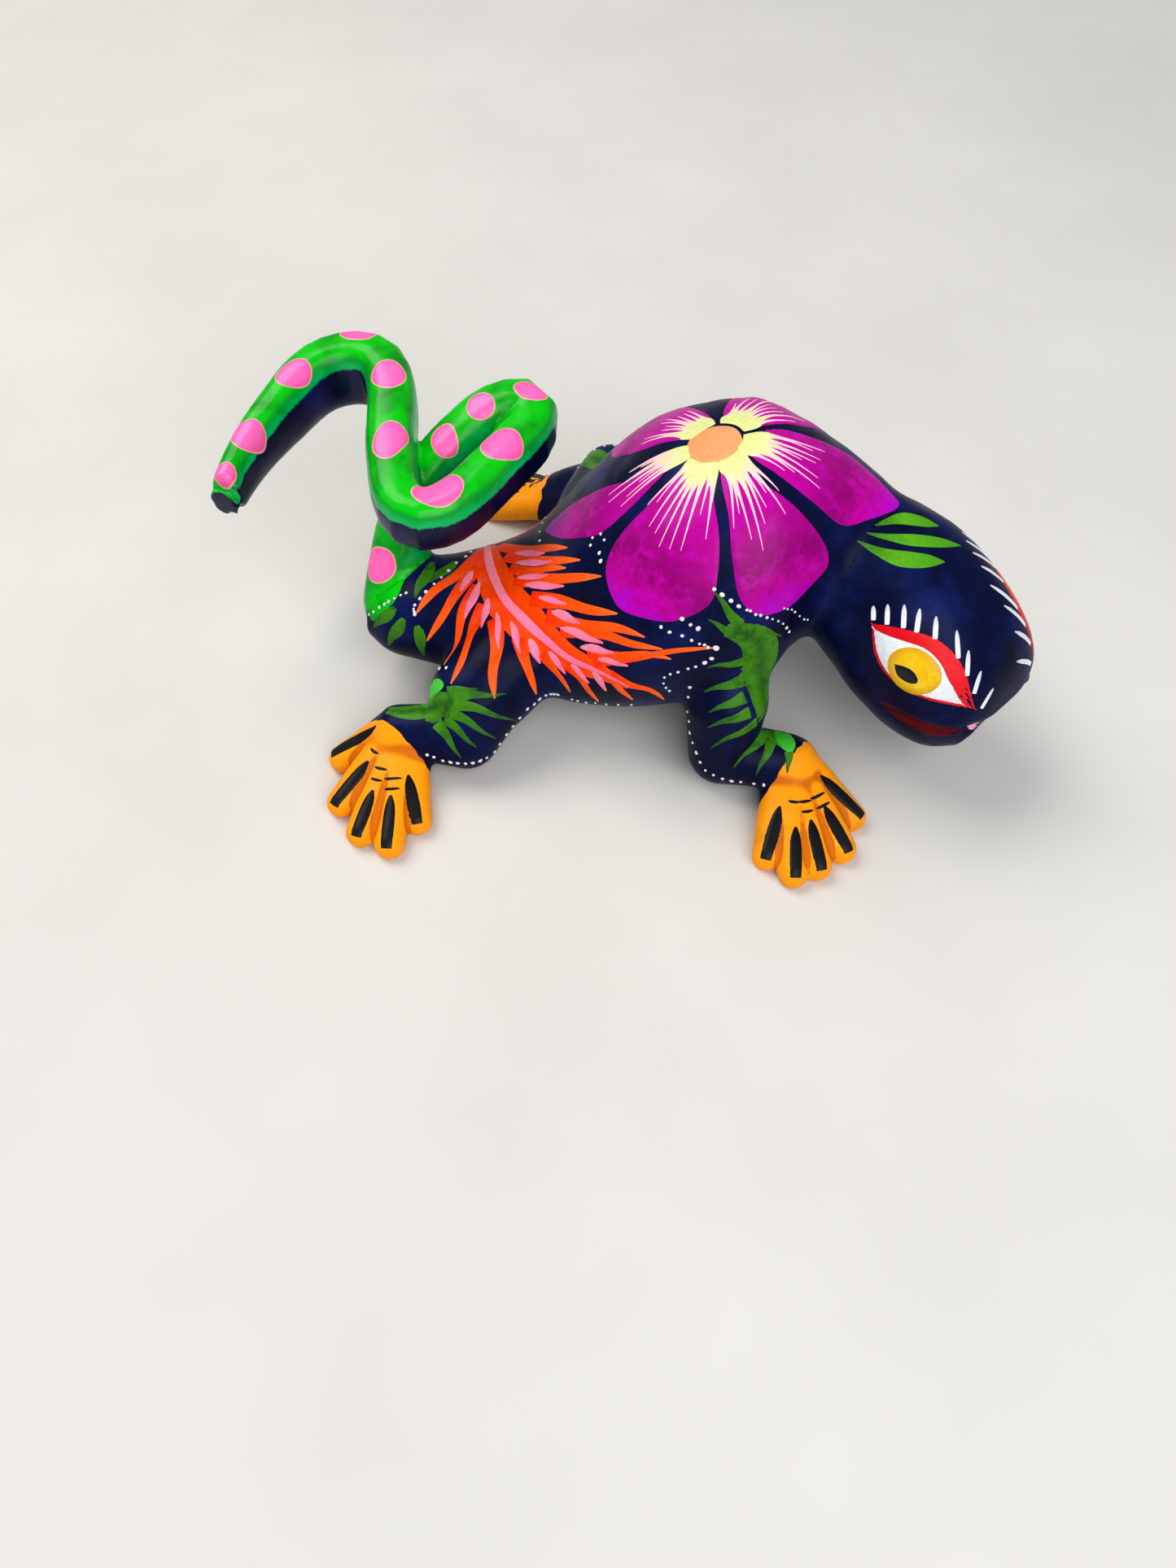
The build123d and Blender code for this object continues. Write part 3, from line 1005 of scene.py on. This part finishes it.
# ---------------------------------------------------------------- rows of white dots
# Each row is a smooth line on the flank chart, with its number of dots and their radius.
DOT_ROWS = (
    (((-44.6, 6.6), (-42, 7.6), (-40, 8.6), (-37.6, 9.8)), 8, 0.3),
    (((-27, 18), (-30, 14.2), (-33.4, 10.6), (-36, 7.4), (-36, 6)), 12, 0.34),
    (((-13.8, 24.2), (-14.5, 22), (-14.6, 18.8)), 4, 0.34),
    (((-5.8, 15.2), (-5.6, 16.5), (-4.2, 16.6), (-3.8, 15.4)), 4, 0.34),
    (((-4.6, 13.6), (-4.3, 12)), 2, 0.46),
    (((-31.6, -3.3), (-30.2, -3.4)), 2, 0.4),
    (((-33.8, -18.2), (-30, -19.3), (-26.4, -19.5), (-23, -18), (-19.8, -14), (-16.4, -10), (-13.4, -7.8),
      (-11.5, -7.8)), 21, 0.36),
    (((-9, -8.7), (-6, -9.3), (-2, -9.8), (2.6, -9.9)), 8, 0.26),
    (((6.8, -8), (5.9, -7), (6.2, -5.9), (8.3, -5.2), (10.6, -4.6)), 8, 0.28),
    (((12, -4), (12.9, -3.6)), 2, 0.46),
    (((4.8, 0.9), (8.1, -0.4), (10.8, -1.4), (12.2, -1.9)), 7, 0.32),
    (((13.4, -2.1), (13.6, -2.1)), 1, 0.6),
    (((7.9, 2), (9.4, 1.3), (10.6, 0.6)), 3, 0.42),
    (((12.6, 6.1), (14.6, 4.8), (16.4, 3.7)), 4, 0.38),
    (((17.6, 3.2), (20, 2.4), (22.8, 1.9), (25, 0.7)), 10, 0.26),
    (((23.6, 3.8), (25.6, 3.4), (28.4, 2.9)), 7, 0.22),
    (((10.1, -7.4), (10.2, -11), (10.8, -14.4), (11.8, -17.8), (13.6, -20.8), (16.4, -22.2), (19.6, -22.8),
      (23.4, -23.2)), 15, 0.34),
)


def paint_dots(chart, top, seed):
    dice = random.Random(seed)
    for line, count, radius in DOT_ROWS:
        if line[0][1] > top:
            continue
        for k in range(count):
            place = bowl(line, k / max(count - 1, 1))
            place = place + Vector((dice.uniform(-0.12, 0.12), dice.uniform(-0.12, 0.12)))
            size = radius * dice.uniform(0.78, 1.2)
            radii = (size * dice.uniform(0.95, 1.25), size)
            turn, seed_here = dice.uniform(0, pi), dice.random()
            blob("white_dots", land(*chart(*place)), radii, 3, 0.1, 0.12, turn, 2, 10, seed_here)


# ---------------------------------------------------------------- spots on the tail
# Each spot on top of the tail: x and y of its middle in mm, its two radii, and its turn.
SPOTS = (
    ((-45.2, 31.4), (3.2, 2.5), 0.0),
    ((-55.3, 22.2), (3.3, 2.6), 0.9),
    ((-61.3, 9.8), (2.7, 3.3), -0.4),
    ((-64.4, 2.4), (1.8, 1.9), -0.3),
    ((-39.5, 21.9), (3.0, 3.1), 0.0),
    ((-38.4, 8.8), (2.9, 3.9), -0.2),
    ((-30.1, -0.6), (4.3, 3.6), 0.1),
    ((-20.3, 7.9), (3.7, 3.2), 0.5),
    ((-15.8, 18.6), (3.0, 2.0), -0.3),
)
# The same where the tail climbs from the rump, on the right flank's chart.
CLIMB_SPOTS = (
    ((-42.2, 14.6), (3.0, 3.5), -0.4),
    ((-30.2, 34.0), (2.4, 3.0), 0.0),
    ((-24.1, 39.5), (2.4, 2.6), 0.0),
)
SPOT_RIM = 0.2


def paint_spot(where, radii, turn, seed):
    rim = (radii[0] + SPOT_RIM, radii[1] + SPOT_RIM)
    blob("spot_rims", where, rim, 1, 0.0, 0.1, turn, 8, 40, seed, "tail")
    blob("pink_spots", where, radii, 2, 0.0, 0.1, turn, 8, 40, seed, "tail")


def paint_spots():
    for n, ((x, y), radii, turn) in enumerate(SPOTS):
        paint_spot(land(*above_chart(x, y), "tail"), radii, turn, n)
    for n, ((forward, up), radii, turn) in enumerate(CLIMB_SPOTS):
        paint_spot(land(*right_flank(forward, up), "tail"), radii, turn, 20 + n)


# ---------------------------------------------------------------- feet
# Wrist or ankle, then each toe's direction in degrees and its reach, as the carved feet have them,
# given for the left side; the right side mirrors them.
FRONT_FOOT = ((28.46, 28.2), ((38, 12.6), (62, 16.0), (80, 17.7), (93, 18.8), (108, 16.2)))
REAR_FOOT = ((-38.88, 21.6), ((77, 15.4), (92, 19.8), (108, 18.4), (130, 15.0), (168, 10.6)))
FAR_REAR_FOOT = ((-12.08, 38.0), ((104, 8.8), (121, 10.4), (138, 12.6), (154, 14.4), (171, 14.2)))
CLAW_START = 7.0
CLAW_END = 2.7
CLAW_HALF_WIDTHS = (0.2, 1.0, 1.25, 1.2, 1.1)
# The double lines across the knuckles: which toe, how far along it, and half their length.
KNUCKLES = ((1, 0.5, 1.7), (1, 0.6, 1.5), (2, 0.46, 1.3), (2, 0.56, 1.2), (3, 0.42, 1.1))


def paint_foot(foot, side, seed):
    (x, y), toes = foot
    wrist = Vector((x, side * y))
    dice = random.Random(seed)
    for angle, reach in toes:
        way = Vector((cos(radians(angle)), side * sin(radians(angle))))
        out = Vector((-way.y, way.x)) * dice.uniform(-0.35, 0.35)
        start = wrist + way * (reach - CLAW_START * dice.uniform(0.85, 1.05)) + out
        stroke("claws", above_chart, (start, wrist + way * (reach + CLAW_END) + out), CLAW_HALF_WIDTHS, 2)
    for toe, share, half in KNUCKLES:
        angle, reach = toes[toe]
        way = Vector((cos(radians(angle)), side * sin(radians(angle))))
        across = Vector((-way.y, way.x))
        middle = wrist + way * (reach * share + dice.uniform(-0.3, 0.3))
        line = (middle - across * half, middle + way * 0.2, middle + across * half)
        stroke("claws", above_chart, line, (0.1, 0.36, 0.34, 0.1), 2, 2)


# ---------------------------------------------------------------- the face
# On the head's chart: mm ahead of the head's middle, and degrees round from its top.
LID = ((-6.6, 61), (-6.6, 61), (-4.6, 53.5), (-1.4, 44.5), (2.4, 36.5), (6.8, 34.5), (10.8, 39), (15.8, 52),
       (15.8, 52), (12.3, 60.5), (9.3, 68.5), (5.6, 75.6), (1.3, 78.4), (-2.8, 73.4))
WHITE_OF_EYE = ((-5.8, 62), (-5.8, 62), (-3.4, 57.4), (-0.8, 51.6), (2.4, 45.4), (5.6, 44.8),
                (8.8, 48.6), (13.6, 54.6), (13.6, 54.6), (11.8, 59.4), (9, 67), (5.6, 73.8),
                (1.6, 76.4), (-2.4, 71.6))
IRIS = (3.9, 61.2)
IRIS_RADII = (4.8, 3.9)
PUPIL = ((0.7, 66.5), (0.7, 66.5), (2.0, 62.4), (3.8, 59.6), (5.6, 61), (6.2, 65), (5, 69.6),
         (3, 71.6), (1.6, 69.6))
LASHES = (
    ((-6.2, 58), (-7.8, 52.5)),
    ((-4.4, 53), (-6.5, 45.5)),
    ((-2.4, 47), (-4.8, 38.5)),
    ((-0.6, 43), (-2.8, 33.5)),
    ((2, 38), (-0.3, 29.5)),
    ((6.4, 35), (3.3, 25.5)),
    ((9.4, 38), (6.8, 27.5)),
    ((12.3, 42.5), (10.5, 29)),
    ((15, 47), (13.9, 28)),
)
# The far eye's lashes are longer by this much, and each lash starts a little inside the lid.
FAR_LASHES = 1.6
LASH_ROOT = 0.16
LASH_HALF_WIDTHS = (0.42, 0.46, 0.4, 0.1)
MOUTH_PAINT = ((2.6, 104), (7.4, 94), (11.8, 82), (15.6, 71.5), (17.2, 65), (17.2, 77), (15, 89),
               (11.6, 99), (7, 105))
TONGUE = ((15.8, 72), (17.6, 62), (18, 68), (17, 76))


def paint_face(side, higher):
    """One side's eye, lashes and mouth; the eye is higher by some degrees."""
    def chart(ahead, turn):
        return head_chart(ahead, turn - higher, side)
    chart.scale = 0.5
    patch("lid_red", chart, LID, 1, 8)
    patch("eye_white", chart, WHITE_OF_EYE, 2, 8)
    blob("iris_gold", land(*chart(*IRIS)), IRIS_RADII, 3, 0.12, 0.03, -0.5 * side, 7, 36, 5)
    patch("pupil_black", chart, PUPIL, 7, 4)
    for root, tip in LASHES:
        root, tip = Vector(root), Vector(tip)
        reach = (tip - root) * (1.0 if side == 1 else FAR_LASHES)
        line = (root - reach * LASH_ROOT, root + reach * 0.5, root + reach)
        stroke("lashes", chart, line, LASH_HALF_WIDTHS, 2)
    patch("mouth_red", face_chart(side), MOUTH_PAINT, 1, 5)
    patch("tongue_pink", face_chart(side), TONGUE, 2, 3)


def paint_head_leaves():
    chart = face_chart(1)
    for root, middle, tip, wide in HEAD_LEAVES:
        stroke("leaf_top", chart, (root, middle, tip), (0.1, wide * 0.45, wide, wide * 0.9, 0.1), 1)


paint_flower()
paint_feather(right_flank)
paint_feather(left_feather_chart, ("torso",))
paint_greens(right_flank, RIGHT_TOP)
paint_greens(left_flank, LEFT_TOP)
stroke("leaf_paint", above_chart, FAR_THIGH, FAR_THIGH_WIDTHS, 1, 4, ("rear_left_leg", "torso"))
paint_dots(right_flank, RIGHT_TOP, 300)
paint_dots(left_flank, LEFT_TOP, 301)
paint_spots()
paint_foot(FRONT_FOOT, -1, 500)
paint_foot(FRONT_FOOT, 1, 501)
paint_foot(REAR_FOOT, -1, 502)
paint_foot(FAR_REAR_FOOT, 1, 503)
paint_face(1, 0)
paint_face(-1, 4)
paint_head_leaves()

# ---------------------------------------------------------------- materials and objects
PAINTS = {
    "petals": motif_paint(
        "petal_purple",
        ((0.0, PETAL_DARK), (0.2, PETAL), (0.5, (176, 0, 138)), (0.72, PETAL_DARK), (0.86, (178, 0, 140)),
         (1.0, VIOLET)),
        streak=(196, 0, 170), rough=(0.3, 0.42), gloss=0.06),
    "petal_rays": motif_paint(
        "ray_pale", ((0.0, PALE_GREEN), (0.45, (226, 226, 150)), (0.72, PALE_PINK), (1.0, PALE_PINK))),
    "flower_heart": motif_paint("heart_peach", ((0.0, FLOWER_HEART), (1.0, (255, 160, 104)))),
    "feather_body": motif_paint(
        "feather_red", ((0.0, FLAME_RED), (0.5, (255, 70, 0)), (1.0, FLAME)), driver="across"),
    "flames": motif_paint(
        "flame_orange", ((0.0, FLAME_RED), (0.35, FLAME), (0.75, (255, 88, 14)), (1.0, FLAME_TIP))),
    "feather_pinks": motif_paint(
        "feather_pink", ((0.0, (255, 140, 150)), (0.5, FEATHER_PINK), (1.0, (255, 110, 130)))),
    "leaf_paint": motif_paint(
        "leaf_green", ((0.0, (40, 96, 20)), (0.5, LEAF), (1.0, (48, 116, 20))), streak=LEAF_DARK,
        driver="across"),
    "leaf_rays": motif_paint(
        "leaf_stroke", ((0.0, LEAF), (0.5, (54, 116, 22)), (1.0, (40, 84, 30))), streak=LEAF_DARK),
    "leaf_bright": motif_paint("leaf_glint", ((0.0, LEAF_BRIGHT), (1.0, (70, 196, 60)))),
    "leaf_top": motif_paint("leaf_head", ((0.0, (40, 96, 22)), (0.5, (84, 162, 24)), (1.0, (64, 140, 24)))),
    "white_dots": motif_paint("dot_white", ((0.0, WHITE), (1.0, (214, 214, 222)))),
    "spot_rims": motif_paint("rim_peach", ((0.0, PEACH), (1.0, PEACH)), gloss=0.4),
    "pink_spots": motif_paint(
        "spot_pink", ((0.0, PINK), (0.6, PINK), (1.0, PINK_DEEP)), rough=(0.2, 0.34), gloss=0.5),
    "claws": motif_paint("claw_black", ((0.0, BLACK), (1.0, (28, 28, 30))), rough=(0.4, 0.6), gloss=0.1),
    "lid_red": motif_paint("eye_rim_red", ((0.0, LID_RED), (1.0, (226, 26, 36)))),
    "eye_white": motif_paint(
        "eye_pale", ((0.0, (206, 216, 224)), (0.5, WHITE), (1.0, (216, 222, 228))), gloss=0.5),
    "iris_gold": motif_paint(
        "iris_glitter", ((0.0, GOLD), (0.6, GOLD), (1.0, (196, 140, 6))), streak=(240, 206, 40),
        rough=(0.16, 0.4), gloss=0.4),
    "pupil_black": motif_paint("pupil_paint", ((0.0, BLACK), (1.0, BLACK)), rough=(0.2, 0.3), gloss=0.5),
    "lashes": motif_paint("lash_white", ((0.0, WHITE), (1.0, (196, 202, 216)))),
    "mouth_red": motif_paint("mouth_dark", ((0.0, MOUTH_RED), (0.5, (84, 0, 8)), (1.0, MOUTH_RED))),
    "tongue_pink": motif_paint("tongue_paint", ((0.0, (232, 150, 180)), (1.0, (220, 120, 160)))),
}


def object_from_paint(name, material):
    """All the strokes of one paint as one thin object that rides on the figure."""
    points, polygons, along, across = painted[name]
    used = sorted({i for face in polygons for i in face})
    place = {old: new for new, old in enumerate(used)}
    mesh = bpy.data.meshes.new("paint_" + name)
    mesh.from_pydata([points[i] * MM for i in used], [], [[place[i] for i in face] for face in polygons])
    finish_mesh(mesh, {"along": np.array(along)[used], "across": np.array(across)[used]})
    build = bmesh.new()
    build.from_mesh(mesh)
    bmesh.ops.recalc_face_normals(build, faces=build.faces)
    tree_hits = [skin.find_nearest(f.calc_center_median())[1] for f in build.faces]
    wrong = [f for f, n in zip(build.faces, tree_hits) if n is not None and f.normal.dot(n) < 0]
    bmesh.ops.reverse_faces(build, faces=wrong)
    build.to_mesh(mesh)
    build.free()
    mesh.materials.append(material)
    piece = add_object("paint_" + name, mesh)
    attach(piece, "root")
    return piece


for name in painted:
    object_from_paint(name, PAINTS[name])

navy_wood = body_paint("navy_painted_wood", (0.3, 0.44), 0.03)
tail_wood = body_paint("tail_painted_wood", (0.2, 0.34), 0.3)
for index, name in enumerate(CARVED):
    piece_from_skin(name, index, tail_wood if name == "tail" else navy_wood)

peg_wood = wood_bare("bare_dowel_wood")
for name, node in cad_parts.items():
    if name not in CARVED:
        node.data.materials.clear()
        node.data.materials.append(peg_wood)

# ---------------------------------------------------------------- floor, camera and light
FLOOR_HALF = 1.2
CAMERA_LENS = 27.03
CAMERA_PLACE = (-6.3 * MM, -145.3 * MM, 170 * MM)
CAMERA_DIP = 55.4
WORLD_COLOUR = (0.86, 0.9, 1.0, 1)
WORLD_STRENGTH = 0.36
FLOOR_COLOUR = (212, 209, 202)


def make_floor():
    mesh = bpy.data.meshes.new("floor")
    s = FLOOR_HALF
    mesh.from_pydata([(-s, -s, 0), (s, -s, 0), (s, s, 0), (-s, s, 0)], [], [(0, 1, 2, 3)])
    floor = add_object("floor", mesh)
    shader = Shader("pale_floor")
    tone = shader.ramp(shader.noise(60, 3.0), ((0.3, (205, 202, 195)), (0.7, FLOOR_COLOUR)))
    mesh.materials.append(shader.finish(tone, (0.8, 0.9), 0.0, ((shader.noise(6, 3.0), 0.2, 0.1),)))


def make_camera():
    data = bpy.data.cameras.new("camera")
    camera = add_object("camera", data)
    data.lens = CAMERA_LENS
    data.sensor_width = 36
    data.clip_start = 0.01
    camera.location = CAMERA_PLACE
    camera.rotation_euler = (radians(90 - CAMERA_DIP), 0, 0)
    bpy.context.scene.camera = camera


def make_light(name, place, size, energy, colour):
    """A large soft square light aimed at the figure."""
    data = bpy.data.lights.new(name, "AREA")
    data.size = size
    data.energy = energy
    data.color = colour
    light = add_object(name, data)
    light.location = place
    aim = Vector((0, 0, 0.02)) - Vector(place)
    light.rotation_euler = aim.to_track_quat("-Z", "Y").to_euler()


make_floor()
make_camera()
make_light("window", (-0.35, 0.2, 0.65), 0.5, 4.4, (1.0, 0.98, 0.95))
make_light("room", (0.2, -0.5, 0.5), 0.6, 4.4, (0.95, 0.97, 1.0))

world = bpy.data.worlds.new("studio")
bpy.context.scene.world = world
world.use_nodes = True
sky = world.node_tree.nodes["Background"]
sky.inputs["Color"].default_value = WORLD_COLOUR
sky.inputs["Strength"].default_value = WORLD_STRENGTH
bpy.context.scene.view_settings.view_transform = "Standard"
